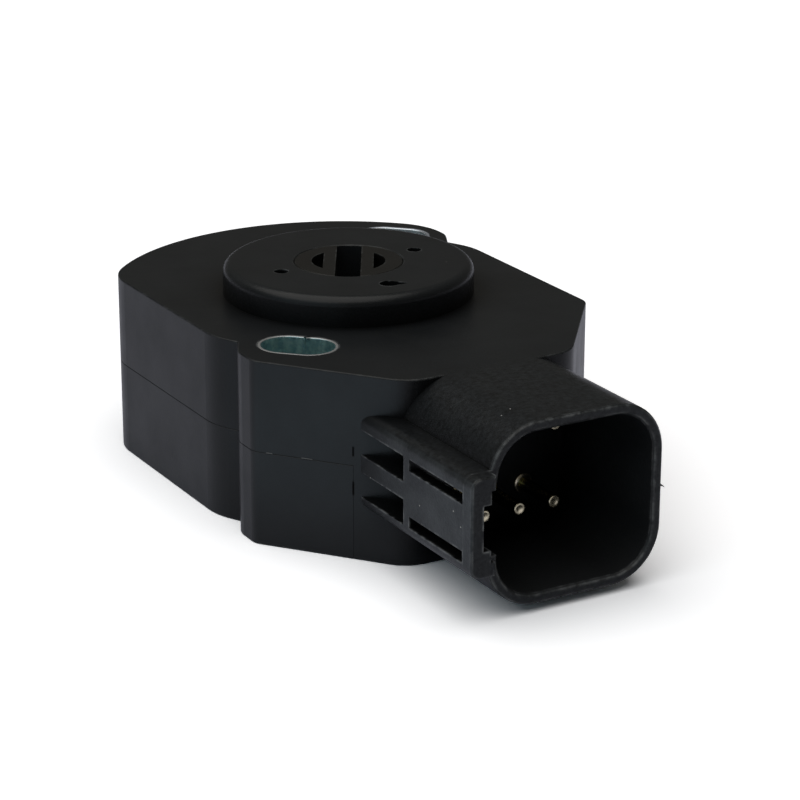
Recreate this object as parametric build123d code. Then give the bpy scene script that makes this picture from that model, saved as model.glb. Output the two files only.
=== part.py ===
"""Throttle position sensor.

A slotted rotor turns in the sensor's pilot boss and sweeps two wipers over a double-track resistive
element, which is read through a keyed six-pin socket. Millimetres. The rotor axis is Z, the back face
lies on z = 0, the boss points up and the socket opens towards -Y.
"""

import os
from math import cos, radians, sin, tan

from build123d import *

# Body, seen in plan
body_height = 23.35
body_half_width = 23.65
back_reach = 31.85
back_corner = 20.1
back_corner_radius = 8.5
ear_corner = 19.15
ear_angle = 38.4
front_distance = 34.8
nose_radius = 5.0
ear_corner_radius = 2.2
notch_place = 12.0
notch_half_width = 3.4
notch_depth = 1.7
notch_flat_radius = 9.0
notch_ear_radius = 4.0
notch_root_radius = 0.3

# Body, in section
parting_height = 11.95
parting_bevel = 0.12
edge_round = 0.2
foot_round = 0.1
body_wall = 2.4
top_wall = 3.0
cover_floor = 2.5
seam_distance = 29.3
seam_gap = 0.04
ejector_radius = 2.0
ejector_depth = 0.15
ejector_circle_radius = 17.0
ejector_angles = (0.0, 136.0, 180.0, 316.0)

# Pilot boss and the small blind holes in its face
boss_radius = 16.0
boss_height = 3.8
boss_round = 1.2
vent_radius = 0.9
vent_place = 9.65
vent_depth = 3.0
gate_radius = 1.1
gate_tip_radius = 0.22
gate_length = 2.1
gate_x = -0.48
gate_y = -11.09
gate_angle = -24.0
gate_depth = 1.6

# Mounting slots, each lined with a rolled and split steel sleeve
slot_circle_radius = 23.35
slot_angle = 46.0
sleeve_length = 9.9
sleeve_width = 6.95
sleeve_wall = 0.4
sleeve_split = 0.35
sleeve_clearance = 0.02
rear_sleeve_stand = 0.65
tower_wall = 1.3

# Socket shroud
mouth_distance = 53.3
shroud_width = 23.5
shroud_lift = 1.15
shroud_corner = 6.5
shroud_wall = 1.3
socket_depth = 19.2
mouth_bevel = 0.25
mouth_lead_in = 0.35

# Latch frame on the left of the shroud, a little ahead of its mouth
frame_reach = 15.0
frame_lead = 1.7
frame_height = 12.0
frame_lift = 0.325
frame_round = 1.3
frame_bevel = 0.2
frame_post = 1.95
frame_rib_front = 41.3
frame_rib_rear = 40.0
window_span = 8.4
window_lift = 0.1
slot_window_height = 1.4
rear_window_height = 3.1
key_reach = 13.4
key_height = 5.5
key_lift = 0.25
key_step_reach = 12.4
key_step_height = 8.6

# Contact pins, potting and leads
pin_radius = 0.78
pin_tip_bevel = 0.35
pin_pitch = 4.84
pin_row_spacing = 9.8
pin_rows_lift = 0.2
pin_reach = 41.4
pin_inner_end = 25.0
pin_collar_radius = 1.25
pin_collar_height = 0.45
pin_collar_bevel = 0.15
potting_margin = 2.6
potting_depth = 1.5
lead_width = 1.2
lead_thickness = 0.5
lead_foot = 2.4

# Rotor, its seal and its thrust washer
rotor_radius = 6.9
rotor_clearance = 0.06
rotor_edge_bevel = 0.12
rotor_angle = 60.0
drive_depth = 5.8
drive_slot_width = 3.2
drive_bore_radius = 4.7
drive_beam_thickness = 1.6
collar_radius = 9.6
collar_drop = 2.4
washer_thickness = 0.7
flange_radius = 15.0
flange_thickness = 1.8
spindle_radius = 4.5
pivot_radius = 2.0
pivot_length = 2.2
pivot_clearance = 0.06
pivot_play = 0.1
seal_groove_width = 1.8
seal_groove_depth = 1.3
seal_groove_drop = 0.6
seal_clearance = 0.02
seal_side_clearance = 0.1
seal_bevel = 0.25

# Preload spring: a conical washer round the pivot, on a seat of the rear cover
seat_height = 3.6
seat_radius = 5.5
spring_thickness = 0.4
spring_rise = 0.9
spring_inner_radius = 2.3
spring_outer_radius = 4.3
spring_gap = 0.05

# Element board, its tracks and stakes
wiper_drop = 2.5
board_thickness = 1.6
board_clearance = 1.175
board_hole_radius = 7.4
board_tongue_half_width = 7.4
board_tongue_margin = 0.6
track_thickness = 0.1
collector_radius = 9.3
resistor_radius = 12.1
track_width = 1.8
track_start = -12.0
track_sweep = 104.0
stake_inset = 1.2
stake_angles = (90.0, 196.0, 344.0)
stake_post_radius = 1.2
stake_radius = 0.6
stake_height = 0.5

# Wipers under the rotor's flange
wiper_angle = 0.0
wiper_strip = 0.3
wiper_finger_width = 1.4
wiper_base_length = 1.8
wiper_arm_length = 3.4
wiper_foot_length = 0.8
wiper_lift = 0.05

# Joint seal in the parting face
joint_margin = 0.3
joint_width = 0.6
joint_depth = 0.8

# Sizes that follow, and the reach of half-spaces, the overshoot of cuts and a hair's breadth
far = 200.0
over = 1.0
tiny = 0.01
boss_top = body_height + boss_height
cavity_top = body_height - top_wall
collar_bottom = cavity_top - collar_drop
flange_top = collar_bottom - washer_thickness
flange_bottom = flange_top - flange_thickness
board_top = flange_bottom - wiper_drop
board_bottom = board_top - board_thickness
board_tongue_reach = pin_inner_end + board_tongue_margin
board_radius = slot_circle_radius - sleeve_width / 2 - tower_wall - board_clearance
stake_circle_radius = board_radius - stake_inset
bore_radius = rotor_radius + rotor_clearance
spindle_end = seat_height + spring_rise + spring_thickness + 2 * spring_gap
shroud_height = body_height - shroud_lift
shroud_middle = body_height - shroud_height / 2
frame_front = mouth_distance + frame_lead
frame_middle = shroud_middle + frame_lift
window_bottom = shroud_middle + window_lift - window_span / 2
window_top = window_bottom + window_span
key_middle = shroud_middle + key_lift
pin_rows_height = shroud_middle + pin_rows_lift
socket_floor = mouth_distance - socket_depth
wall_floor = seam_distance + potting_depth
columns = [-pin_pitch, 0, pin_pitch]
rows = {"lower": pin_rows_height - pin_row_spacing / 2, "upper": pin_rows_height + pin_row_spacing / 2}
sides = ["left", "middle", "right"]
UP = (Align.CENTER, Align.CENTER, Align.MIN)


def cylinder(radius, bottom, top):
    """Upright cylinder on the rotor axis."""
    return Pos(0, 0, bottom) * Cylinder(radius, top - bottom, align=UP)


def block(low, high):
    """Box between two opposite corners."""
    size = [b - a for a, b in zip(low, high)]
    return Pos(*low) * Box(*size, align=(Align.MIN, Align.MIN, Align.MIN))


def prism(plan, bottom, top):
    """Flat plan raised from one height to another."""
    return extrude(Pos(0, 0, bottom) * plan, amount=top - bottom)


def forward(section, start, end):
    """Section drawn in X and Z, carried along -Y between two distances from the axis."""
    return extrude(Plane.XZ.offset(start) * section, amount=end - start)


def half_plane(limit, behind):
    """Plan of everything behind, or in front of, the line y = -limit."""
    shift = far / 2 - limit if behind else -far / 2 - limit
    return Pos(0, shift) * Rectangle(far, far)


def corner(plan, x, y):
    """Corner of a plan at one place."""
    return plan.vertices().filter_by(lambda v: abs(v.X - x) < tiny and abs(v.Y - y) < tiny)


def body_outline():
    """Plan of the body: a round back, two side flats, two slanted ears, a flat front and two notches."""
    width = body_half_width
    nose_x = width - (front_distance - ear_corner) * tan(radians(ear_angle))
    back = ThreePointArc((-width, back_corner), (0, back_reach), (width, back_corner))
    rest = Polyline(
        (width, back_corner), (width, -ear_corner), (nose_x, -front_distance),
        (-nose_x, -front_distance), (-width, -ear_corner), (-width, back_corner),
    )
    plan = make_face(back + rest)
    plan = fillet(plan.vertices().filter_by(lambda v: v.Y < tiny - front_distance), nose_radius)
    plan = fillet(plan.vertices().filter_by(lambda v: abs(v.Y - back_corner) < tiny), back_corner_radius)
    plan = fillet(plan.vertices().filter_by(lambda v: abs(v.Y + ear_corner) < tiny), ear_corner_radius)
    for side in (1, -1):
        low, high = notch_place - notch_half_width, notch_place + notch_half_width
        root_point, outer_point = (width - notch_depth, notch_place), (width + over, notch_place)
        points = [(width, low), root_point, (width, high), outer_point]
        plan -= Polygon(*[(side * x, side * y) for x, y in points], align=None)
        plan = fillet(corner(plan, side * width, side * low), notch_flat_radius)
        plan = fillet(corner(plan, side * width, side * high), notch_ear_radius)
        plan = fillet(corner(plan, side * (width - notch_depth), side * notch_place), notch_root_radius)
    return plan


def slot_plan(angle, grow=0.0):
    """Plan of a mounting slot, lying along its circle: the sleeve's outside, grown by a margin."""
    length, width = sleeve_length + 2 * grow, sleeve_width + 2 * grow
    return Rot(0, 0, angle) * Pos(slot_circle_radius, 0) * Rot(0, 0, 90) * SlotOverall(length, width)


def slot_angles():
    """The front and rear slots lie on one diameter."""
    return {"front_sleeve": 180 + slot_angle, "rear_sleeve": slot_angle}


def slot_cuts():
    """Both mounting slots, cut through the whole body."""
    plans = [slot_plan(angle, sleeve_clearance) for angle in slot_angles().values()]
    return [prism(plan, -over, body_height + over) for plan in plans]


def tower_plan(angle):
    """Plan of the tower round a mounting slot, carried on outwards into the body's wall."""
    backing = Pos(slot_circle_radius + far / 2, 0) * Rectangle(far, sleeve_length + 2 * tower_wall)
    return slot_plan(angle, tower_wall) + Rot(0, 0, angle) * backing


def cavity_plan():
    """Plan of the space inside the walls, less the towers round the mounting slots."""
    plan = offset(body_outline(), -body_wall, kind=Kind.INTERSECTION) & half_plane(seam_distance, True)
    for angle in slot_angles().values():
        plan -= tower_plan(angle)
    return plan


def shroud_section(inset=0.0):
    """Rounded square of the socket shroud."""
    size = (shroud_width - 2 * inset, shroud_height - 2 * inset)
    return Pos(0, shroud_middle) * RectangleRounded(*size, shroud_corner - inset)


def socket_space():
    """Hollow of the socket, with a lead-in at its mouth."""
    start = mouth_distance - mouth_lead_in
    hollow = forward(shroud_section(shroud_wall), socket_floor, mouth_distance + over)
    flare = extrude(Plane.XZ.offset(start) * shroud_section(shroud_wall), amount=2 * mouth_lead_in, taper=-45)
    return hollow + flare


def socket_inner_half():
    """Half the width of the socket's hollow."""
    return shroud_width / 2 - shroud_wall


def latch_frame():
    """Rounded rail beside the shroud, from the body to a little ahead of the mouth."""
    section = Pos(0, frame_middle) * RectangleRounded(2 * frame_reach, frame_height, frame_round)
    beside = Pos(-far / 2 - shroud_width / 2, frame_middle) * Rectangle(far, far)
    within = Pos(-far / 2 - socket_inner_half(), frame_middle) * Rectangle(far, far)
    rail = forward(section & beside, seam_distance, frame_front)
    rail = chamfer(rail.edges().group_by(Axis.Y)[0], frame_bevel)
    return rail + forward(section & within, seam_distance, mouth_distance)


def latch_frame_cuts():
    """Two slots and two pockets through the frame's face, and the stepped keyway behind them."""
    outside, post = -frame_reach - over, frame_front - frame_post
    wall, hollow = -shroud_width / 2, -socket_inner_half()
    cuts = []
    for low in (window_bottom, window_top - slot_window_height):
        cuts.append(block((outside, -post, low), (hollow, -frame_rib_front, low + slot_window_height)))
    for low in (window_bottom, window_top - rear_window_height):
        pocket = block((outside, -frame_rib_rear, low), (wall, -seam_distance, low + rear_window_height))
        cuts.append(pocket - prism(body_outline(), 0, body_height))
    keyways = [(key_reach, key_middle, key_height), (key_step_reach, frame_middle, key_step_height)]
    for reach, middle, height in keyways:
        low, high = middle - height / 2, middle + height / 2
        cuts.append(block((-reach, -frame_front - over, low), (hollow + over, -frame_rib_front, high)))
    return cuts


def pin_places():
    """Name, sideways place and height of each contact."""
    return [(f"{row}_{side}", x, z) for row, z in rows.items() for side, x in zip(sides, columns)]


def rod(radius, x, z, start, end):
    """Round rod along -Y at one place of the socket, between two distances from the axis."""
    return forward(Pos(x, z) * Circle(radius), start, end)


def potting_space():
    """Recess round the pins in the inner face of the front wall."""
    half_width, half_height = pin_pitch + potting_margin, pin_row_spacing / 2 + potting_margin
    low = (-half_width, -wall_floor, pin_rows_height - half_height)
    return block(low, (half_width, -seam_distance, pin_rows_height + half_height))


def gate_recess():
    """Drop-shaped dimple in the boss face: a round end drawn out to a small tip."""
    outline = Circle(gate_radius).edges() + (Pos(gate_length, 0) * Circle(gate_tip_radius)).edges()
    place = Pos(gate_x, gate_y) * Rot(0, 0, gate_angle)
    return prism(place * make_hull(outline), boss_top - gate_depth, boss_top + over)


def housing():
    """Upper moulding: body, boss, front wall, socket shroud and latch frame in one piece."""
    plan = body_outline()
    body = prism(plan, parting_height, body_height)
    body = fillet(body.edges().group_by(Axis.Z)[-1], edge_round)
    front = prism(plan & half_plane(seam_distance, False), 0, parting_height)
    lower_edges = front.edges().group_by(Axis.Z)[0]
    front = fillet(lower_edges.filter_by(lambda e: e.center().Y < -seam_distance - tiny), foot_round)
    boss = cylinder(boss_radius, cavity_top, boss_top)
    boss = fillet(boss.edges().group_by(Axis.Z)[-1], boss_round)
    shroud = forward(shroud_section(), (seam_distance + front_distance) / 2, mouth_distance)
    shroud = chamfer(shroud.edges().group_by(Axis.Y)[0], mouth_bevel)
    part = body + front + boss + shroud + latch_frame()
    part -= prism(cavity_plan(), parting_height - over, cavity_top)
    part += cylinder(collar_radius, collar_bottom, cavity_top)
    mouth = Pos(0, 0, boss_top) * Cone(bore_radius, bore_radius + rotor_edge_bevel, rotor_edge_bevel,
                                       align=(Align.CENTER, Align.CENTER, Align.MAX))
    cuts = [cylinder(bore_radius, 0, boss_top + over), mouth, socket_space(), potting_space(), gate_recess()]
    cuts += slot_cuts() + latch_frame_cuts()
    cuts += [rod(pin_radius, x, z, seam_distance - over, socket_floor + over) for _, x, z in pin_places()]
    for x in (-vent_place, vent_place):
        cuts.append(Pos(x, 0, 0) * cylinder(vent_radius, boss_top - vent_depth, boss_top + over))
    return part - cuts


def seal_plan():
    """Plan of the joint seal: a band round the cavity, inside the mounting slots and open at the front."""
    outer = offset(cavity_plan(), joint_margin + joint_width)
    inner = offset(cavity_plan(), joint_margin)
    return (outer - inner) & half_plane(seam_distance - seam_gap, True)


def joint_seal():
    """Seal bead in the groove of the parting face."""
    return prism(seal_plan(), parting_height - joint_depth, parting_height)


def stake_posts(radius, bottom, top):
    """Three round posts on the stakes' circle."""
    places = [Rot(0, 0, angle) * Pos(stake_circle_radius, 0) for angle in stake_angles]
    return [place * cylinder(radius, bottom, top) for place in places]


def rear_cover():
    """Lower moulding: a tray with the rotor's pivot, the board's posts and ejector marks underneath."""
    seam = seam_gap - seam_distance
    part = prism(body_outline() & half_plane(-seam, True), 0, parting_height)
    lower_edges = part.edges().group_by(Axis.Z)[0]
    part = fillet(lower_edges.filter_by(lambda e: e.center().Y > seam + tiny), foot_round)
    upper_edges = part.edges().group_by(Axis.Z)[-1]
    part = chamfer(upper_edges.filter_by(lambda e: e.center().Y > seam + tiny), parting_bevel)
    part -= prism(cavity_plan(), cover_floor, parting_height + over)
    part -= prism(seal_plan(), parting_height - joint_depth, parting_height + over)
    part += cylinder(seat_radius, cover_floor, seat_height)
    part += cylinder(pivot_radius, cover_floor, spindle_end + pivot_length)
    part += stake_posts(stake_post_radius, cover_floor, board_bottom)
    part += stake_posts(stake_radius, board_bottom, board_top + stake_height)
    for angle in ejector_angles:
        place = Rot(0, 0, angle) * Pos(ejector_circle_radius, 0)
        part -= place * cylinder(ejector_radius, -over, ejector_depth)
    return part - slot_cuts()


def sleeve(angle, stand):
    """Rolled steel sleeve lining a slot, split on the side towards the boss."""
    tube = prism(slot_plan(angle) - slot_plan(angle, -sleeve_wall), stand, body_height + stand)
    inner_side = slot_circle_radius - sleeve_width / 2
    low = (inner_side - over, -sleeve_split / 2, -over)
    split = block(low, (inner_side + 2 * sleeve_wall, sleeve_split / 2, far))
    return tube - Rot(0, 0, angle) * split


def rotor():
    """Drive rotor: slotted hub with two gripping beams, wiper flange and spindle in one moulding."""
    hub = chamfer(cylinder(rotor_radius, flange_top, boss_top).edges().group_by(Axis.Z)[-1], rotor_edge_bevel)
    part = hub + cylinder(flange_radius, flange_bottom, flange_top)
    part += cylinder(spindle_radius, spindle_end, flange_bottom)
    pivot_top = spindle_end + pivot_length + pivot_play
    part -= cylinder(pivot_radius + pivot_clearance, spindle_end - over, pivot_top)
    groove_bottom = collar_bottom + seal_groove_drop
    groove_top = groove_bottom + seal_groove_width
    groove = cylinder(rotor_radius + over, groove_bottom, groove_top)
    part -= groove - cylinder(rotor_radius - seal_groove_depth, groove_bottom, groove_top)
    floor = boss_top - drive_depth
    recess = cylinder(drive_bore_radius, floor, boss_top + over)
    beam_side = drive_slot_width / 2 + drive_beam_thickness
    recess -= block((-far, -beam_side, floor), (far, beam_side, boss_top + over))
    recess += block((-2 * rotor_radius, -drive_slot_width / 2, floor),
                    (2 * rotor_radius, drive_slot_width / 2, boss_top + over))
    return part - Rot(0, 0, rotor_angle) * recess


def rotor_seal():
    """Square-section ring seal in the hub's groove."""
    bottom = collar_bottom + seal_groove_drop + seal_side_clearance
    top = bottom + seal_groove_width - 2 * seal_side_clearance
    inner_radius = rotor_radius - seal_groove_depth + seal_clearance
    ring = cylinder(bore_radius - seal_clearance, bottom, top) - cylinder(inner_radius, bottom, top)
    return chamfer(ring.edges().filter_by(GeomType.CIRCLE), seal_bevel)


def thrust_washer():
    """Plain washer between the rotor's flange and the bearing collar."""
    disc = cylinder(collar_radius, flange_top, collar_bottom)
    return disc - cylinder(bore_radius, flange_top, collar_bottom)


def preload_spring():
    """Conical washer under the spindle that holds the rotor up against its thrust washer."""
    low, high = seat_height + spring_gap, seat_height + spring_gap + spring_rise
    section = Polygon(
        (spring_outer_radius, low), (spring_outer_radius, low + spring_thickness),
        (spring_inner_radius, high + spring_thickness), (spring_inner_radius, high),
        align=None,
    )
    return revolve(Plane.XZ * section, Axis.Z)


def wiper(angle):
    """Bent contact strip: a base on the flange and two fingers that reach down to the tracks."""
    foot_bottom = board_top + track_thickness + wiper_lift
    base_end = -wiper_foot_length / 2 - wiper_arm_length
    base_start = base_end - wiper_base_length
    heel, toe = -wiper_foot_length / 2, wiper_foot_length / 2
    profile = Polygon(
        (base_start, flange_bottom), (base_start, flange_bottom - wiper_strip),
        (base_end, flange_bottom - wiper_strip), (heel, foot_bottom), (toe, foot_bottom),
        (toe, foot_bottom + wiper_strip), (heel, foot_bottom + wiper_strip), (base_end, flange_bottom),
        align=None,
    )
    part = block(
        (collector_radius - wiper_finger_width / 2, base_start, flange_bottom - wiper_strip),
        (resistor_radius + wiper_finger_width / 2, base_end, flange_bottom),
    )
    for radius in (collector_radius, resistor_radius):
        part += extrude(Plane.YZ.offset(radius - wiper_finger_width / 2) * profile, amount=wiper_finger_width)
    return Rot(0, 0, angle) * part


def element_board():
    """Round board with a tongue for the leads, a hole for the spindle and three stake holes."""
    plan = Circle(board_radius)
    plan += Pos(0, -board_tongue_reach / 2) * Rectangle(2 * board_tongue_half_width, board_tongue_reach)
    plan -= Circle(board_hole_radius)
    holes = stake_posts(stake_radius, board_bottom - over, board_top + over)
    return prism(plan, board_bottom, board_top) - holes


def track(radius, start):
    """Flat printed arc on the board, centred on a radius."""
    ring = Circle(radius + track_width / 2) - Circle(radius - track_width / 2)
    ends = [(2 * radius * cos(radians(a)), 2 * radius * sin(radians(a)))
            for a in (start, start + track_sweep / 2, start + track_sweep)]
    wedge = Polygon((0, 0), *ends, align=None)
    return prism(ring & wedge, board_top, board_top + track_thickness)


def track_pair(radius):
    """The same arc under both wipers."""
    return Compound([track(radius, wiper_angle + track_start + turn) for turn in (0, 180)])


def contact_pin(x, z):
    """Round pin with a bevelled tip and a collar that seats on the socket floor."""
    pin = rod(pin_radius, x, z, pin_inner_end, pin_reach)
    pin = chamfer(pin.edges().group_by(Axis.Y)[0], pin_tip_bevel)
    collar = rod(pin_collar_radius, x, z, socket_floor, socket_floor + pin_collar_height)
    return pin + chamfer(collar.edges().group_by(Axis.Y)[0], pin_collar_bevel)


def potting():
    """Sealing compound cast round the pins behind the front wall."""
    return potting_space() - [rod(pin_radius, x, z, 0, far) for _, x, z in pin_places()]


def lead(x, z):
    """Flat strip from the end of a pin to its pad on the board."""
    above = z > board_top
    pad = board_top if above else board_bottom
    outward = 1 if above else -1
    end = z + outward * lead_width / 2
    left, right = x - lead_width / 2, x + lead_width / 2
    inner = lead_thickness - pin_inner_end
    upright = block((left, -pin_inner_end, min(pad, end)), (right, inner, max(pad, end)))
    top = pad + outward * lead_thickness
    foot = block((left, inner, min(pad, top)), (right, inner + lead_foot, max(pad, top)))
    return upright + foot


def nodes():
    """Every piece of the sensor by name."""
    angles = slot_angles()
    pieces = {
        "housing": housing(),
        "rear_cover": rear_cover(),
        "joint_seal": joint_seal(),
        "front_sleeve": sleeve(angles["front_sleeve"], 0.0),
        "rear_sleeve": sleeve(angles["rear_sleeve"], rear_sleeve_stand),
        "rotor": rotor(),
        "rotor_seal": rotor_seal(),
        "thrust_washer": thrust_washer(),
        "preload_spring": preload_spring(),
        "wiper_a": wiper(wiper_angle),
        "wiper_b": wiper(wiper_angle + 180),
        "element_board": element_board(),
        "resistor_tracks": track_pair(resistor_radius),
        "collector_tracks": track_pair(collector_radius),
        "pin_potting": potting(),
    }
    for name, x, z in pin_places():
        pieces[f"pin_{name}"] = contact_pin(x, z)
        pieces[f"lead_{name}"] = lead(x, z)
    return pieces


os.makedirs("parts", exist_ok=True)
for node, piece in nodes().items():
    export_step(piece, f"parts/{node}.step")
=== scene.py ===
# %% [markdown]
# # A throttle position sensor on a white table
# This lesson dresses a finished construction: a small black sensor with a round boss, a slotted rotor, two
# zinc-lined screw slots and a keyed socket with six pins. The solids come in as a fixed frame in metres.
# We give each one its finish, and replace the few metal pieces whose rims and tips catch the light.

import bpy
import numpy as np
from mathutils import Matrix, Vector


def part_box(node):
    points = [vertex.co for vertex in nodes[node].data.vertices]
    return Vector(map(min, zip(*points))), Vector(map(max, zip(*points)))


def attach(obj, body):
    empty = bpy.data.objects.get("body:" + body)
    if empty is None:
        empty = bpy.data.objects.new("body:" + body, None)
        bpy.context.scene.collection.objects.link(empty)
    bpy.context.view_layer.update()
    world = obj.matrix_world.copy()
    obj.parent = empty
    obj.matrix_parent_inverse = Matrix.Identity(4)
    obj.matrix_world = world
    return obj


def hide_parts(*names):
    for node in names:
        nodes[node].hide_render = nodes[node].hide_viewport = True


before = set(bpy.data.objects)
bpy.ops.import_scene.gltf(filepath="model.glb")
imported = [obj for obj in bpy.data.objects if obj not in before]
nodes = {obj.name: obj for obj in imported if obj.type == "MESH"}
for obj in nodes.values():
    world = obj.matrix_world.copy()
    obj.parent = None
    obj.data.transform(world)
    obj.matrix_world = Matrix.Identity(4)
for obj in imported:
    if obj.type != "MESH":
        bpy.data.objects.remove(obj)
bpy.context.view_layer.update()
MM = 0.001

# %% [markdown]
# ## The camera
# The picture is taken with a long lens from a little above the table, turned 30 degrees to the socket's
# left. A camera's matrix is its right, up and backward directions side by side, so we build it from three
# angles instead of aiming it at a target. The lens is for a square picture on a 36 mm sensor.

# %% Camera
camera_place = np.array([-163.34, -296.11, 129.16]) * MM
camera_turn, camera_dip, camera_roll = np.radians([-30.0, 19.67, 0.152])
camera_lens, camera_sensor = 124.79, 36.0
camera_nearest = 10 * MM


def camera_axes(turn, dip, roll):
    """Right, up and ahead: a level view turned about Z, dipped below the horizon, then rolled."""
    ahead = np.array([-np.sin(turn) * np.cos(dip), np.cos(turn) * np.cos(dip), -np.sin(dip)])
    level = np.array([np.cos(turn), np.sin(turn), 0.0])
    right = np.cos(roll) * level + np.sin(roll) * np.cross(level, ahead)
    return right, np.cross(right, ahead), ahead


right, up, ahead = camera_axes(camera_turn, camera_dip, camera_roll)
camera = bpy.data.objects.new("camera", bpy.data.cameras.new("camera"))
camera.data.sensor_width = camera_sensor
camera.data.lens = camera_lens
camera.data.clip_start = camera_nearest
pose = np.eye(4)
pose[:3] = np.column_stack([right, up, -ahead, camera_place])
camera.matrix_world = Matrix(pose.tolist())
bpy.context.scene.collection.objects.link(camera)
bpy.context.scene.camera = camera
print("camera looks along", ahead.round(4))

# %% [markdown]
# ## Small helpers for node materials
# A Cycles material is a graph. Writing it node by node gets long, so one helper makes a node with its
# settings and inputs, and links any input that is given as a socket. Every pattern reads Object
# coordinates: the pieces sit at the origin with their place in the mesh, so these are true metres on the
# part, and a pattern can be put where it belongs.

# %% Node helpers
mix_first, mix_second, mix_result = 6, 7, 2


def add_node(tree, kind, settings=None, **inputs):
    """One node: settings are its own properties, inputs are values or the output sockets to link. An input
    is named, with underscores for spaces, or numbered as _0, _1 and _2."""
    made = tree.nodes.new("ShaderNode" + kind)
    for key, value in (settings or {}).items():
        setattr(made, key, value)
    for key, value in inputs.items():
        socket = made.inputs[int(key[1:])] if key[1:].isdigit() else made.inputs[key.replace("_", " ")]
        if isinstance(value, bpy.types.NodeSocket):
            tree.links.new(value, socket)
        else:
            socket.default_value = value
    return made


def start_material(name):
    """New material: returns it with its tree, its Principled shader and the Object coordinates."""
    material = bpy.data.materials.new(name)
    material.use_nodes = True
    tree = material.node_tree
    place = add_node(tree, "TexCoord").outputs["Object"]
    return material, tree, tree.nodes["Principled BSDF"], place


def blend(tree, factor, first, second):
    """Colour that goes from first to second with the factor."""
    made = add_node(tree, "Mix", {"data_type": "RGBA"}, _0=factor)
    for index, colour in ((mix_first, first), (mix_second, second)):
        if isinstance(colour, bpy.types.NodeSocket):
            tree.links.new(colour, made.inputs[index])
        else:
            made.inputs[index].default_value = (*colour, 1.0)
    return made.outputs[mix_result]


def tint(colour, share):
    """Colour made lighter or darker by a share."""
    return tuple(min(1.0, c * share) for c in colour)


print("a grey made darker:", tint((0.5, 0.5, 0.5), 0.8))

# %% [markdown]
# ## Helpers for values
# A pattern is a value between 0 and 1 at each point. Noise gives one, and a few lines of arithmetic cut it
# to what we want: a stretch of the values carried to new limits, a band between two places, or the distance
# from a line. Masks are joined by multiplying them. Most values of a noise lie in a middle span, so that is
# the stretch to carry to new limits.

# %% Value helpers
noise_span = (0.3, 0.7)


def noise(tree, place, size, detail=3.0, rough=0.55):
    """Noise from 0 to 1 whose largest features are about size metres across."""
    settings = {"noise_dimensions": "3D"}
    look = {"Scale": 1 / size, "Detail": detail, "Roughness": rough}
    return add_node(tree, "TexNoise", settings, Vector=place, **look).outputs["Fac"]


def remap(tree, value, low, high, new_low=0.0, new_high=1.0):
    """Value between low and high, carried to the new limits and held there."""
    made = add_node(tree, "MapRange", {"clamp": True}, Value=value)
    for key, limit in zip(("From Min", "From Max", "To Min", "To Max"), (low, high, new_low, new_high)):
        made.inputs[key].default_value = limit
    return made.outputs["Result"]


def math(tree, operation, first, second, third=0.0):
    """Sum, product or other arithmetic of two values, or of three."""
    return add_node(tree, "Math", {"operation": operation}, _0=first, _1=second, _2=third).outputs[0]


def product(tree, *factors):
    """All the values multiplied together."""
    result = factors[0]
    for factor in factors[1:]:
        result = math(tree, "MULTIPLY", result, factor)
    return result


def within(tree, value, low, high, soft):
    """One between two limits and zero outside them, with a soft change."""
    return math(tree, "MINIMUM", remap(tree, value, low - soft, low), remap(tree, value, high + soft, high))


def distance_from(tree, value, place):
    """How far a coordinate is from a place on its axis."""
    return math(tree, "ABSOLUTE", math(tree, "SUBTRACT", value, place), 0.0)


print("value helpers:", [f.__name__ for f in (noise, remap, math, product, within, distance_from)])

# %% [markdown]
# ## Where plastic wears
# Handling leaves marks on a moulded part: sharp edges are rubbed pale, and grains of dust lie on it. Painting
# them needs an unwrapped mesh, so we find them instead. Rubbed edges come from Ambient Occlusion traced
# inwards, which is darkest where two faces meet in a convex edge, and noise breaks them up. The weld and the
# parting line have such edges too, but lie too close to be rubbed. The small bevels of the socket's mouth are
# rubbed all round. Dust is a Voronoi pattern of which only a few cells keep their dot.

# %% Dust and rubbed edges
dust_pitch, dust_smallest = 1.5 * MM, 0.35
rub_width, rub_from, rub_full = 0.30 * MM, 0.86, 0.50
rub_gap = 1.5
grip_wear = 0.12
weld_place, parting_height = -29.28 * MM, 11.95 * MM
wear_size, wear_span = 1.2 * MM, (0.42, 0.66)
mouth_face = -53.3 * MM
bevel_start, bevel_end, bevel_soft = 0.04 * MM, 0.17 * MM, 0.03 * MM
bevel_least, bevel_most = 0.08, 0.6
occlusion_samples = 8


def dust(tree, place, share, radius):
    """Sparse dots: in that share of the cells, what lies within the radius of the cell's point."""
    cells = add_node(tree, "TexVoronoi", {"feature": "F1"}, Vector=place, Scale=1 / dust_pitch).outputs
    chosen = add_node(tree, "SeparateColor", Color=cells["Color"]).outputs
    kept = math(tree, "LESS_THAN", chosen["Red"], share)
    largest = radius / dust_pitch
    size = remap(tree, chosen["Green"], 0.0, 1.0, dust_smallest * largest, largest)
    return math(tree, "MULTIPLY", kept, math(tree, "LESS_THAN", cells["Distance"], size))


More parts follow.
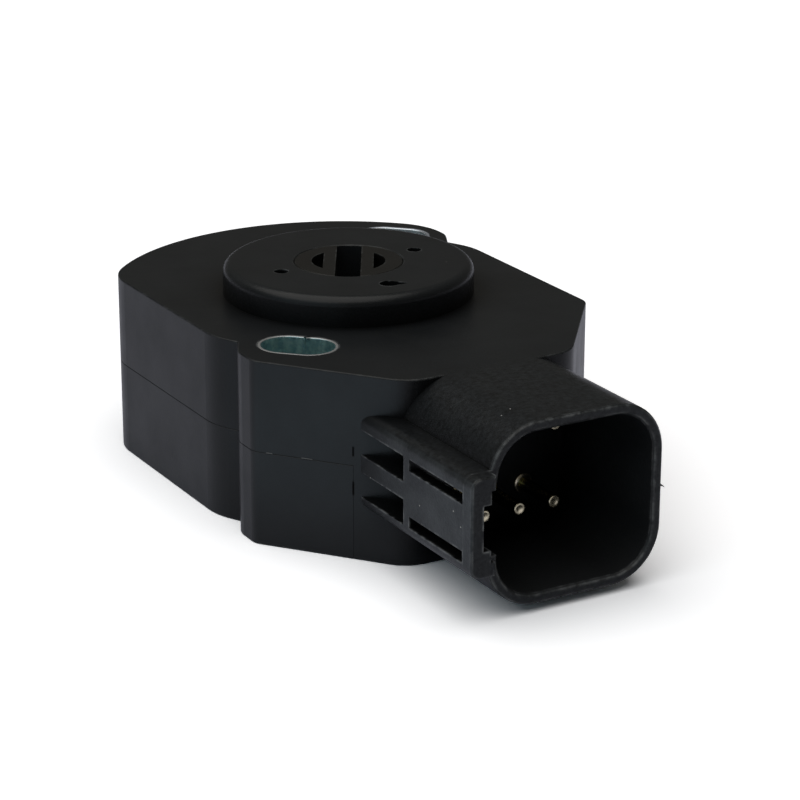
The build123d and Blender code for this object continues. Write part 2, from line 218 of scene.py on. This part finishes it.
def rubbed_edges(tree, place, axes, gripped, amount):
    """Convex edges, broken up by noise, but not those of the weld and parting lines. The bevels of the mouth
    are rubbed all round."""
    settings = {"inside": True, "only_local": True, "samples": occlusion_samples}
    inward = add_node(tree, "AmbientOcclusion", settings, Distance=rub_width).outputs["AO"]
    edge = remap(tree, math(tree, "MULTIPLY_ADD", gripped, -grip_wear, inward), rub_from, rub_full)
    for axis, line in (("Y", weld_place), ("Z", parting_height)):
        away = distance_from(tree, axes[axis], line)
        edge = math(tree, "MULTIPLY", edge, remap(tree, away, rub_width, rub_gap * rub_width))
    worn = remap(tree, noise(tree, place, wear_size, detail=5.0), *wear_span)
    mouth = within(tree, axes["Y"], mouth_face + bevel_start, mouth_face + bevel_end, bevel_soft)
    bevel = math(tree, "MULTIPLY", mouth, remap(tree, worn, 0.0, 1.0, bevel_least, bevel_most))
    rubbed = math(tree, "MAXIMUM", math(tree, "MULTIPLY", edge, worn), bevel)
    return math(tree, "MULTIPLY", rubbed, amount)


print("edges are rubbed over mm:", round(rub_width / MM, 2))

# %% [markdown]
# ## Dark places: painted shade in hollows
# Little light comes out of a hollow, so the base colour of its walls is darkened as painted shade. The walls
# are also duller than the outside. We know where the hollows are, so each is a mask made from the
# coordinates: the inside of the socket and the rotor's slot. The weld line, where the cover meets the front
# wall, is closed but for two dark pits on the left. They are too thin for a mesh of their own, so they are
# masks as well.

# %% Pits and hollows
grip_start, grip_end = -33 * MM, -37 * MM
pit_heights = [(8.3 * MM, 9.8 * MM), (13.2 * MM, 14.2 * MM)]
pit_outer, pit_inner, pit_soft = 0.14 * MM, 0.08 * MM, 0.3 * MM
hollow_half, hollow_height, hollow_corner = (10.45 * MM, 9.8 * MM), 12.25 * MM, 5.2 * MM
hollow_outer, hollow_inner = 0.06 * MM, 0.03 * MM
drive_slot_top, drive_slot_dark = 26.9 * MM, 25.6 * MM


def grip(tree, axes):
    """One on the socket, which is the part that is gripped, and zero on the body."""
    return remap(tree, axes["Y"], grip_start, grip_end)


def weld_pits(tree, axes):
    """Places on the left where the weld line is open: a thin dark line between each pair of heights."""
    line = remap(tree, distance_from(tree, axes["Y"], weld_place), pit_outer, pit_inner)
    line = math(tree, "MULTIPLY", line, math(tree, "LESS_THAN", axes["X"], 0.0))
    pits = 0.0
    for low, high in pit_heights:
        there = within(tree, axes["Z"], low, high, pit_soft)
        pits = math(tree, "MAXIMUM", pits, math(tree, "MULTIPLY", line, there))
    return pits


def socket_hollow(tree, axes):
    """One inside the socket and zero elsewhere. The distance from a rounded rectangle is the distance from a
    smaller sharp one, less the corner's radius."""
    places = ((axes["X"], 0.0), (axes["Z"], hollow_height))
    squares = []
    for (value, middle), half in zip(places, hollow_half):
        past = math(tree, "SUBTRACT", distance_from(tree, value, middle), half - hollow_corner)
        squares.append(math(tree, "POWER", math(tree, "MAXIMUM", past, 0.0), 2.0))
    distance = math(tree, "SQRT", math(tree, "ADD", *squares), 0.0)
    inside = remap(tree, distance, hollow_corner + hollow_outer, hollow_corner + hollow_inner)
    return math(tree, "MULTIPLY", inside, grip(tree, axes))


def drive_slot(tree, axes):
    """One deep in the rotor's slot and zero on its face."""
    return remap(tree, axes["Z"], drive_slot_top, drive_slot_dark)


print("pits in the weld line:", len(pit_heights))

# %% [markdown]
# ## Moulded plastic
# The body is black glass-filled plastic. Close up it isn't one black: the melt leaves faint clouds, the tool
# leaves a grain that is coarser on the socket than on the body, and a pale film lies on the latch frame. Each
# is noise of its own size. Where a wall stands over a face, as at the foot of the boss, Ambient Occlusion
# darkens the base colour as painted shade, because so black a plastic gives such places hardly any light. The
# shine is a constant on the shader, and what should look dull gets a high roughness.

# %% Tone and grain of the plastic
cloud_size, cloud_tints = 9 * MM, (0.86, 1.14)
mottle_size, mottle_span, mottle_tints = 0.55 * MM, (0.32, 0.68), (0.50, 1.62)
film_face, film_soft, film_colour = 14.6 * MM, 0.15 * MM, (0.030, 0.034, 0.038)
smear_size, smear_span, smear_least = 3.5 * MM, (0.40, 0.70), 0.25
coarse_size, coarse_height = 3, 4.0


def plastic_tone(tree, place, axes, gripped, colour):
    """Clouds on the body and mottle on the socket, with a pale film on the outer face of the latch frame."""
    clouds = remap(tree, noise(tree, place, cloud_size), *noise_span)
    body = blend(tree, clouds, *(tint(colour, share) for share in cloud_tints))
    mottle = remap(tree, noise(tree, place, mottle_size, detail=4.0, rough=0.65), *mottle_span)
    socket = blend(tree, mottle, *(tint(colour, share) for share in mottle_tints))
    smear = noise(tree, place, smear_size, detail=5.0, rough=0.6)
    smear = remap(tree, smear, *smear_span, smear_least, 1.0)
    film = product(tree, smear, gripped, remap(tree, axes["X"], -film_face, -film_face - film_soft))
    return blend(tree, film, blend(tree, gripped, body, socket), film_colour)


def plastic_grain(tree, place, gripped, size, height):
    """Normal that is bumped by a fine grain, and on the socket by a coarser one as well."""
    fine = noise(tree, place, size, detail=2.0, rough=0.6)
    coarse = math(tree, "MULTIPLY", noise(tree, place, coarse_size * size, rough=0.6), gripped)
    relief = math(tree, "MULTIPLY_ADD", coarse, coarse_height, fine)
    return add_node(tree, "Bump", Strength=1.0, Distance=height, Height=relief).outputs["Normal"]


print("clouds and mottle in mm:", round(cloud_size / MM, 2), round(mottle_size / MM, 2))

# %% Moulded plastic material
# painted shade: near a wall that stands over a face, Ambient Occlusion darkens the base colour by this share
recess_reach, recess_full, recess_shade_tint = 8 * MM, 0.58, 0.22
# painted shade: the base colour in a hollow is darkened by this share; the higher roughness is real
hollow_shade_tint, hollow_roughness = 0.8, 0.65
rubbed_colour, dust_colour, pit_colour = (0.16, 0.17, 0.18), (0.36, 0.36, 0.36), (0.0, 0.0, 0.0)
dust_radius, grip_dust = 0.10 * MM, 0.09
satin_size, satin_change = 5 * MM, 0.05
plastic_shine = 0.20


def moulded_plastic(name, colour, roughness, grain, rub=0.8, dust_share=0.02, hollow=socket_hollow):
    """Black moulded plastic: tone, painted shade in the hollow and the recesses, rubbed edges, dust and pits,
    one over the other. The grain is given by its size and height."""
    material, tree, shader, place = start_material(name)
    axes = add_node(tree, "SeparateXYZ", Vector=place).outputs
    gripped = grip(tree, axes)
    inside, pits = hollow(tree, axes), weld_pits(tree, axes)
    specks = dust(tree, place, math(tree, "MULTIPLY_ADD", gripped, grip_dust, dust_share), dust_radius)
    settings = {"only_local": True, "samples": occlusion_samples}
    open_sky = add_node(tree, "AmbientOcclusion", settings, Distance=recess_reach).outputs["AO"]
    base = plastic_tone(tree, place, axes, gripped, colour)
    for mask, cover in (
        # painted shade: a darker base colour inside the socket and the rotor's slot
        (inside, tint(colour, hollow_shade_tint)),
        # painted shade at the foot of walls, from Ambient Occlusion
        (remap(tree, open_sky, 1.0, recess_full), tint(colour, recess_shade_tint)),
        (rubbed_edges(tree, place, axes, gripped, rub), rubbed_colour),
        (specks, dust_colour),
        (pits, pit_colour),
    ):
        base = blend(tree, mask, base, cover)
    tree.links.new(base, shader.inputs["Base Color"])
    limits = roughness - satin_change, roughness + satin_change
    satin = remap(tree, noise(tree, place, satin_size, detail=4.0), *noise_span, *limits)
    for dull in (pits, specks, math(tree, "MULTIPLY", inside, hollow_roughness)):
        satin = math(tree, "MAXIMUM", satin, dull)
    tree.links.new(satin, shader.inputs["Roughness"])
    tree.links.new(plastic_grain(tree, place, gripped, *grain), shader.inputs["Normal"])
    shader.inputs["Specular IOR Level"].default_value = plastic_shine
    return material


black, rotor_black = (0.0098, 0.0112, 0.0127), (0.0095, 0.0093, 0.0086)
body_grain, rotor_grain = (0.20 * MM, 0.012 * MM), (0.16 * MM, 0.006 * MM)
body_plastic = moulded_plastic("body_plastic", black, 0.34, body_grain)
cover_plastic = moulded_plastic("cover_plastic", tint(black, 1.02), 0.34, body_grain)
rotor_plastic = moulded_plastic("rotor_plastic", rotor_black, 0.44, rotor_grain, rub=0.3, hollow=drive_slot)
print("plastics:", [m.name for m in (body_plastic, cover_plastic, rotor_plastic)])

# %% [markdown]
# ## Metals
# The sleeves are rolled from zinc-plated strip whose passivation turns blue-green, except on the sheared rim.
# The rear one stands a little proud, and its mouth is paler. The leads and wipers are plain stamped strip. A
# metal's colour is its reflection, so the base colour is light even where the piece looks dark. Fine streaks
# in the roughness keep the shine broken.

# %% Strip metals
streak_size, streak_squeeze = 0.25 * MM, (1.0, 1.0, 0.12)
streak_change, streak_height = 0.05, 0.004 * MM
patch_span = (0.36, 0.64)
rim_roughness = 0.55


def metal(name, colour, other, roughness, patch, bands=()):
    """Bare or plated metal: two colours in patches, with a roughness that varies along fine streaks. Bands
    are heights from which another colour begins, with the height over which it comes in. The last band is
    blunt metal."""
    material, tree, shader, place = start_material(name)
    patches = remap(tree, noise(tree, place, patch, detail=4.0), *patch_span)
    base = blend(tree, patches, colour, other)
    stretched = add_node(tree, "Mapping", Vector=place, Scale=streak_squeeze).outputs["Vector"]
    streaks = noise(tree, stretched, streak_size)
    varied = remap(tree, streaks, *noise_span, roughness - streak_change, roughness + streak_change)
    height = add_node(tree, "SeparateXYZ", Vector=place).outputs["Z"]
    bare = 0.0
    for start, soft, band_colour in bands:
        bare = remap(tree, height, start, start + soft)
        base = blend(tree, bare, base, band_colour)
    blunt = math(tree, "MAXIMUM", varied, math(tree, "MULTIPLY", bare, rim_roughness))
    tree.links.new(base, shader.inputs["Base Color"])
    tree.links.new(blunt, shader.inputs["Roughness"])
    bump = add_node(tree, "Bump", Strength=1.0, Distance=streak_height, Height=streaks)
    tree.links.new(bump.outputs["Normal"], shader.inputs["Normal"])
    shader.inputs["Metallic"].default_value = 1.0
    return material


zinc_dark, zinc_light = (0.38, 0.58, 0.63), (0.76, 0.95, 0.92)
zinc_bands = {
    "front_sleeve": [(0.08 * MM, 0.04 * MM, (0.38, 0.39, 0.40))],
    "rear_sleeve": [(4.6 * MM, 2.0 * MM, (0.92, 0.96, 1.0)), (0.10 * MM, 0.04 * MM, (0.36, 0.39, 0.44))],
}
zincs = {}
for name, depths in zinc_bands.items():
    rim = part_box(name)[1].z
    bands = [(rim - depth, soft, colour) for depth, soft, colour in depths]
    zincs[name] = metal("zinc_" + name, zinc_dark, zinc_light, 0.34, 1.1 * MM, bands)
strip_brass = metal("lead_brass", (0.72, 0.56, 0.28), (0.64, 0.47, 0.22), 0.34, 1.5 * MM)
spring_alloy = metal("wiper_alloy", (0.74, 0.50, 0.30), (0.66, 0.44, 0.26), 0.32, 1.5 * MM)
spring_steel = metal("spring_steel", (0.50, 0.50, 0.51), (0.42, 0.42, 0.44), 0.36, 2 * MM)
silver_film = metal("collector_film", (0.72, 0.71, 0.68), (0.64, 0.63, 0.60), 0.42, 1 * MM)
print("metals:", [m.name for m in (*zincs.values(), strip_brass, spring_alloy, spring_steel, silver_film)])

# %% [markdown]
# ## The pins' plating
# A contact pin is plated brass, and it changes along its length: pale at the collar, gilt above it, dark
# along the shaft and pale again at the tip. The shaft's dark is painted shade, for the dark socket that it
# mirrors. As all the pins lie along Y and end in one plane, one material serves them all, and the bands are
# distances along -Y.

# %% Pin metal
socket_floor, pin_tip = 34.1 * MM, 41.4 * MM
collar_height, collar_soft = 0.45 * MM, 0.1 * MM
shaft_shade_start, shaft_shade_soft = 0.9 * MM, 0.9 * MM
tip_round, tip_pale, tip_soft = 0.15 * MM, 1.4, 0.3
pin_roughness = 0.26


def pin_metal(name, first, bands):
    """Plated pin: the first colour, then each band's colour from its distance along -Y, changing softly."""
    material, tree, shader, place = start_material(name)
    along = add_node(tree, "SeparateXYZ", Vector=place).outputs["Y"]
    base = first
    for distance, soft, colour in bands:
        base = blend(tree, remap(tree, along, -distance, -distance - soft), base, colour)
    tree.links.new(base, shader.inputs["Base Color"])
    shader.inputs["Roughness"].default_value = pin_roughness
    shader.inputs["Metallic"].default_value = 1.0
    return material


plated = pin_metal("pin_plating", (0.78, 0.70, 0.52), [
    (socket_floor + collar_height, collar_soft, (0.80, 0.66, 0.22)),
    # painted shade: the shaft's near-black colour stands for the dark socket that it mirrors
    (socket_floor + shaft_shade_start, shaft_shade_soft, (0.07, 0.065, 0.045)),
    (pin_tip - tip_pale * tip_round, tip_soft * tip_round, (0.98, 0.88, 0.62)),
])
print("pins:", plated.name)

# %% [markdown]
# ## What lies inside
# Nobody sees the seals, the board and the resin until the part is opened, but each still has a finish of
# its own: one function mixes two close colours and a faint bump.

# %% Inner materials
inner_tints = (0.85, 1.15)
grains_per_patch = 6


def inner_finish(name, colour, roughness, patch, bump_height):
    """Plain material with soft patches of a lighter tone and a little relief."""
    material, tree, shader, place = start_material(name)
    patches = remap(tree, noise(tree, place, patch, detail=4.0), *noise_span)
    base = blend(tree, patches, *(tint(colour, share) for share in inner_tints))
    tree.links.new(base, shader.inputs["Base Color"])
    relief = noise(tree, place, patch / grains_per_patch)
    bump = add_node(tree, "Bump", Strength=1.0, Distance=bump_height, Height=relief)
    tree.links.new(bump.outputs["Normal"], shader.inputs["Normal"])
    shader.inputs["Roughness"].default_value = roughness
    return material


seal_rubber = inner_finish("seal_rubber", (0.02, 0.02, 0.02), 0.62, 1.5 * MM, 0.01 * MM)
washer_plastic = inner_finish("washer_plastic", (0.72, 0.69, 0.60), 0.45, 3 * MM, 0.006 * MM)
board_laminate = inner_finish("board_laminate", (0.08, 0.20, 0.09), 0.5, 1 * MM, 0.01 * MM)
carbon_film = inner_finish("resistor_film", (0.018, 0.018, 0.018), 0.55, 0.6 * MM, 0.004 * MM)
potting_resin = inner_finish("potting_resin", (0.02, 0.02, 0.023), 0.25, 4 * MM, 0.02 * MM)
inner = (seal_rubber, washer_plastic, board_laminate, carbon_film, potting_resin)
print("inner finishes:", [m.name for m in inner])

# %% [markdown]
# ## Give every solid its finish
# A solid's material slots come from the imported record. We only swap the material in them, and never touch
# the mesh, so the frame stays as it was built.

# %% Assign materials
finishes = {
    "housing": body_plastic, "rear_cover": cover_plastic, "rotor": rotor_plastic,
    "front_sleeve": zincs["front_sleeve"], "rear_sleeve": zincs["rear_sleeve"], "joint_seal": seal_rubber,
    "rotor_seal": seal_rubber, "thrust_washer": washer_plastic, "preload_spring": spring_steel,
    "wiper_a": spring_alloy, "wiper_b": spring_alloy, "element_board": board_laminate,
    "resistor_tracks": carbon_film, "collector_tracks": silver_film, "pin_potting": potting_resin,
}
for name, solid in nodes.items():
    finish = finishes.get(name) or (plated if name.startswith("pin_") else strip_brass)
    solid.data.materials.clear()
    solid.data.materials.append(finish)
print("finished solids:", len(nodes))

# %% [markdown]
# ## Surfaces from arrays
# The pieces that we add are grids of points: one direction runs along the piece, the other round it. Two
# index arrays, one of them rolled by one, give every quad at once. Each row closes on itself, and either end
# gets one flat face.

# %% Grid surfaces


def grid_faces(rows, columns):
    """Quads of a grid of rows that each close on themselves, and one face on either end."""
    here = np.arange(rows * columns).reshape(rows, columns)
    there = np.roll(here, -1, axis=1)
    quads = np.stack([here[:-1], there[:-1], there[1:], here[1:]], axis=-1).reshape(-1, 4)
    return quads.tolist() + [here[0, ::-1].tolist(), here[-1].tolist()]


def surface_piece(name, points, finish, smooth=True):
    """Mesh piece on the case, from an array of shape rows, columns, 3."""
    rows, columns = points.shape[:2]
    faces = grid_faces(rows, columns)
    mesh = bpy.data.meshes.new(name)
    mesh.from_pydata(points.reshape(-1, 3).tolist(), [], faces)
    mesh.polygons.foreach_set("use_smooth", np.array([smooth and len(face) == 4 for face in faces]))
    mesh.materials.append(finish)
    mesh.validate()
    piece = bpy.data.objects.new(name, mesh)
    bpy.context.scene.collection.objects.link(piece)
    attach(piece, "case")
    return piece


print("faces of a grid of 2 by 3:", grid_faces(2, 3))

# %% [markdown]
# ## Rolled sleeves
# Each mounting slot is lined with a strip of zinc-plated steel, rolled into an obround with its split towards
# the boss. The solid's square edges catch no light, so we carry a strip section with round edges along the
# same obround. The path is known by its length alone: one linear interpolation gives the angle of the wall,
# another the centre of the bend. The split is closed but for a notch at the rim, where one end springs into
# the hole.

# %% Path and section of a sleeve
side_inset, side_points = 0.3 * MM, 14


def rounded_corner(centre, radius, start, turn, count=7):
    """Arc of points about a centre: a fixed radius, swept evenly from a start angle by a turn, in degrees."""
    angle = np.radians(start + turn * np.linspace(0, 1, count))
    return centre + radius * np.stack([np.cos(angle), np.sin(angle)], axis=-1)


def obround_path(half, radius, length_along):
    """Place and outward normal on an obround by length from the middle of one straight side: the bend's
    centre slides along the straights while the angle stands still, and stands still while the angle turns."""
    bend = np.pi * radius
    knots = np.cumsum([0, half, bend, 2 * half, bend, half])
    angle = np.interp(length_along, knots, np.radians([-90, -90, 90, 90, 270, 270]))
    centre = np.interp(length_along, knots, [0, half, half, -half, -half, 0])
    normal = np.stack([np.cos(angle), np.sin(angle)], axis=-1)
    return np.stack([centre, 0 * centre], axis=-1) + radius * normal, normal


def strip_section(wall, low, high, outer_edge, inner_edge):
    """Closed section of an upright strip, in distance outwards and height: four round corners, and points
    down both sides that lie closer together towards the rim."""
    half = wall / 2
    height = high - np.geomspace(side_inset, high - low - side_inset, side_points)
    side = np.full_like(height, half)
    return np.concatenate([
        rounded_corner((half - outer_edge, high - outer_edge), outer_edge, 0, 90),
        rounded_corner((inner_edge - half, high - inner_edge), inner_edge, 90, 90),
        np.stack([-side, height], axis=-1),
        rounded_corner((outer_edge - half, low + outer_edge), outer_edge, 180, 90),
        rounded_corner((half - outer_edge, low + outer_edge), outer_edge, 270, 90),
        np.stack([side, height[::-1]], axis=-1),
    ])


print("quarter of a circle:", rounded_corner((0, 0), 1.0, 0, 90, 3).round(2).tolist())

# %% Sleeves
slot_circle, slot_turn = 23.35 * MM, np.radians(46.0)
sleeve_length, sleeve_width, sleeve_wall, sleeve_split = 9.9 * MM, 6.95 * MM, 0.4 * MM, 0.004 * MM
sleeve_edge = 0.10 * MM
spring_reach, notch_half, notch_depth = 0.45 * MM, 0.18 * MM, 0.22 * MM
sleeve_rows = 300


def sleeve_points(turn, low, high, inner_edge, spring):
    """Strip section carried along the obround: place = path + normal * (section's distance - spring). The
    spring and the notch fall off from the strip's ends as bell curves, and downwards from the rim
    exponentially."""
    half, radius = (sleeve_length - sleeve_width) / 2, (sleeve_width - sleeve_wall) / 2
    whole = 4 * half + 2 * np.pi * radius
    along = np.linspace(sleeve_split / 2, whole - sleeve_split / 2, sleeve_rows)[:, None]
    section = strip_section(sleeve_wall, low, high, sleeve_edge, inner_edge)
    rise = np.exp((section[:, 1] - high) / notch_depth)
    first, last = (np.exp(-((along - end) / spring_reach) ** 2) * rise for end in (along[0], along[-1]))
    path, normal = obround_path(half, radius, along + notch_half * (first - last))
    flat = path + normal * (section[:, :1] - (spring * first)[..., None])
    out, across = np.array([np.cos(turn), np.sin(turn)]), np.array([-np.sin(turn), np.cos(turn)])
    plan = (slot_circle + flat[..., 1:]) * out + flat[..., :1] * across
    height = np.broadcast_to(section[None, :, 1:], plan.shape[:2] + (1,))
    return np.concatenate([plan, height], axis=-1)


for name, turn, lip, spring in (
    ("front_sleeve", np.pi + slot_turn, 0.12 * MM, 0.30 * MM),
    ("rear_sleeve", slot_turn, 0.20 * MM, 0.10 * MM),
):
    low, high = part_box(name)
    points = sleeve_points(turn, low.z, high.z, lip, spring)
    rolled = surface_piece(name + "_rolled", points, zincs[name])
    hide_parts(name)
    print(rolled.name, "faces:", len(rolled.data.polygons))

# %% [markdown]
# ## Turned pins
# A contact pin is turned from wire: a collar against the socket's floor, a plain shaft and a faced tip with
# a rounded edge and a shallow dish. It is a profile of radius along the pin, spun about the pin's own axis,
# so a single outer product of radii with a circle of directions makes the whole surface.

# %% Pins
pin_radius, collar_radius = 0.78 * MM, 1.25 * MM
dish_radius, dish_depth, dish_end = 0.45 * MM, 0.05 * MM, 0.03
collar_power = 6
collar_rows, edge_rows, dish_rows, pin_sides = 25, 10, 6, 40


def pin_profile(start):
    """Distance along -Y and radius. The collar rises by a sixth-power superellipse over the shaft, the tip's
    edge is a quarter circle, and the dish falls with one minus the square of the radius."""
    collar = np.linspace(-1, 1, collar_rows)
    collar_y = socket_floor + collar_height * (1 + collar) / 2
    rise = (1 - collar ** collar_power) ** (1 / collar_power)
    collar_r = pin_radius + (collar_radius - pin_radius) * rise
    bend = np.radians(np.linspace(0, 90, edge_rows))
    tip_y = pin_tip - tip_round * (1 - np.sin(bend))
    tip_r = pin_radius - tip_round * (1 - np.cos(bend))
    dish_r = dish_radius * np.linspace(1, dish_end, dish_rows)
    dish_y = pin_tip - dish_depth * (1 - (dish_r / dish_radius) ** 2)
    distance = np.concatenate([[start], collar_y, tip_y, dish_y])
    radius = np.concatenate([[pin_radius], collar_r, tip_r, dish_r])
    return distance, radius


for name in sorted(n for n in nodes if n.startswith("pin_") and n != "pin_potting"):
    low, high = (np.array(corner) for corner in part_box(name))
    distance, radius = pin_profile(-high[1])
    around = np.linspace(0, 2 * np.pi, pin_sides, endpoint=False)
    middle = (low + high) / 2
    points = np.stack([
        middle[0] + radius[:, None] * np.cos(around),
        np.broadcast_to(-distance[:, None], (len(distance), len(around))),
        middle[2] + radius[:, None] * np.sin(around),
    ], axis=-1)
    turned = surface_piece(name + "_turned", points, plated)
    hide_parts(name)

# %% [markdown]
# ## Flash from the mould
# Where two halves of a mould meet, a little plastic creeps out. On this part it left two thin flakes on the
# parting line of the left ear and a thorn on the right lip of the socket. They stand out from the wall, so
# they are meshes and not bump. A flake is a wedge: its section is a thin triangle, and its tip comes and
# goes.

# %% Flakes on the parting line
ear_turn, ear_distance = np.radians(38.4), 30.429 * MM
flake_places = [(2.0 * MM, 2.8 * MM), (6.55 * MM, 8.0 * MM)]
flake_reach, flake_thickness, flake_root = 0.13 * MM, 0.14 * MM, 0.05 * MM
flake_walk, flake_depth = 0.35, 0.3
flake_rows, flake_seed = 24, 3


def on_ear(along, out, height):
    """Point on the left ear: so far forward along it from the foot of its normal, out from it, and up."""
    normal = np.array([-np.cos(ear_turn), -np.sin(ear_turn)])
    forward = np.array([np.sin(ear_turn), -np.cos(ear_turn)])
    plan = (ear_distance + out)[..., None] * normal + along[..., None] * forward
    return np.concatenate([plan, height[..., None]], axis=-1)


def flake_points(start, end, reach, thickness, seed):
    """Wedge along the parting line: reach times the root of a half sine, roughened by a random walk that is
    held within limits."""
    draws = np.random.default_rng(seed)
    share = np.linspace(0, 1, flake_rows)
    walk = np.clip(np.cumsum(draws.normal(0, flake_walk, share.size)), -1, 1)
    rough = 1 - flake_depth + flake_depth * walk
    tip = reach * np.sin(np.pi * share) ** 0.5 * rough
    along = np.repeat((start + (end - start) * share)[:, None], 3, axis=1)
    out = np.stack([0 * tip - flake_root, tip, 0 * tip - flake_root], axis=1)
    height = parting_height + np.broadcast_to([thickness / 2, 0.0, -thickness / 2], out.shape)
    return on_ear(along, out, height)


flash_grey, flash_grain = (0.10, 0.105, 0.11), (0.2 * MM, 0.004 * MM)
flash_plastic = moulded_plastic("flash_plastic", flash_grey, 0.5, flash_grain, rub=0.0, dust_share=0.0)
for number, (start, end) in enumerate(flake_places):
    flake = flake_points(start, end, flake_reach, flake_thickness, number + flake_seed)
    surface_piece(f"flake_{number}", flake, flash_plastic, smooth=False)
print("flakes:", len(flake_places))

# %% Thorn on the lip
thorn_base = np.array([11.6, -52.9, 12.3]) * MM
thorn_reach, thorn_thickness = 0.70 * MM, 0.19 * MM
thorn_forward, thorn_droop, thorn_blunt, thorn_taper = 0.3, 0.55, 0.02, 0.8
thorn_rows, thorn_sides = 14, 10


def thorn_points(base, reach, thickness):
    """Curved spike: it leaves the lip straight, droops with the square of its length and thins to a point."""
    share = np.linspace(0, 1, thorn_rows)
    around = np.linspace(0, 2 * np.pi, thorn_sides, endpoint=False)
    radius = thickness * (1 + thorn_blunt - share) ** thorn_taper
    route = np.stack([share, -thorn_forward * share, -thorn_droop * share ** 2], axis=-1)
    ring = np.stack([0 * around, np.cos(around), np.sin(around)], axis=-1)
    return (base + reach * route)[:, None] + radius[:, None, None] * ring[None]


thorn = thorn_points(thorn_base, thorn_reach, thorn_thickness)
surface_piece("lip_thorn", thorn, body_plastic)
print("thorn's points:", thorn.shape[:2])

# %% [markdown]
# ## The table
# The sensor stands on a white table that has no visible edge. Its white comes from its colour: where the
# camera looks at it, it is a little brighter than white, so that only the real shadow stays grey. Black satin
# plastic shows what it mirrors, so what a reflection meets has colours of its own: a cool grey, and a bright
# patch on the left, as where a window shines on the table.

# %% Table
table_half = 6.0
table_drop = 0.02 * MM
table_white, table_glare, table_bounce = (1.36, 1.39, 1.47), (0.60, 0.62, 0.735), (0.86, 0.86, 0.86)
window_place, window_glare = (-75 * MM, -45 * MM, 0.0), (1.15, 1.42, 1.72)
window_edge, window_full = 52 * MM, 29 * MM


def table_material():
    """White table: a lighter colour for what looks straight at it than for the light it gives back, and a
    cooler one where it is seen as a reflection, brightest in the window's patch."""
    material, tree, shader, place = start_material("table_white")
    path = add_node(tree, "LightPath").outputs
    straight = math(tree, "MAXIMUM", path["Is Camera Ray"], path["Is Transmission Ray"])
    gap = add_node(tree, "VectorMath", {"operation": "DISTANCE"}, _0=place, _1=window_place)
    window = remap(tree, gap.outputs["Value"], window_edge, window_full)
    glare = blend(tree, window, table_glare, window_glare)
    colour = blend(tree, path["Is Glossy Ray"], blend(tree, straight, table_bounce, table_white), glare)
    diffuse = add_node(tree, "BsdfDiffuse", Color=colour)
    tree.links.new(diffuse.outputs["BSDF"], tree.nodes["Material Output"].inputs["Surface"])
    tree.nodes.remove(shader)
    return material


corners = np.array([[-1, -1, 0], [1, -1, 0], [1, 1, 0], [-1, 1, 0]]) * table_half - [0, 0, table_drop]
table_mesh = bpy.data.meshes.new("table")
table_mesh.from_pydata(corners.tolist(), [], [[0, 1, 2, 3]])
table_mesh.materials.append(table_material())
table = bpy.data.objects.new("table", table_mesh)
bpy.context.scene.collection.objects.link(table)
print("table's width in metres:", 2 * table_half)

# %% [markdown]
# ## Light
# One broad light hangs overhead. A wide sun is the same everywhere and has a soft shadow: its width sets how
# soft, and its tilt sends the shadow to the right. A weak cool light from the front left gives the side faces
# their bluish sheen, and the world adds a little warm light from all round. The Standard view transform
# leaves the colours as they are rendered.

# %% Lights
world_colour, world_strength = (1.0, 0.96, 0.86, 1.0), 0.084
world = bpy.data.worlds.new("studio")
world.use_nodes = True
world.node_tree.nodes["Background"].inputs["Color"].default_value = world_colour
world.node_tree.nodes["Background"].inputs["Strength"].default_value = world_strength
bpy.context.scene.world = world
bpy.context.scene.view_settings.view_transform = "Standard"


def soft_sun(name, aim, strength, spread, colour):
    """Broad even light that shines along aim, with a round source that many degrees wide."""
    lamp = bpy.data.lights.new(name, "SUN")
    lamp.energy, lamp.angle, lamp.color = strength, np.radians(spread), colour
    holder = bpy.data.objects.new(name, lamp)
    holder.rotation_mode = "QUATERNION"
    holder.rotation_quaternion = Vector(aim).to_track_quat("-Z", "Y")
    bpy.context.scene.collection.objects.link(holder)
    return holder


warm, cool = (1.0, 0.97, 0.92), (0.58, 0.85, 1.0)
overhead = soft_sun("overhead", aim=(0.27, 0.04, -1.0), strength=2.4, spread=84, colour=warm)
front_left = soft_sun("front_left", aim=(0.92, 0.33, -0.21), strength=0.35, spread=70, colour=cool)
print("lights:", overhead.name, front_left.name)
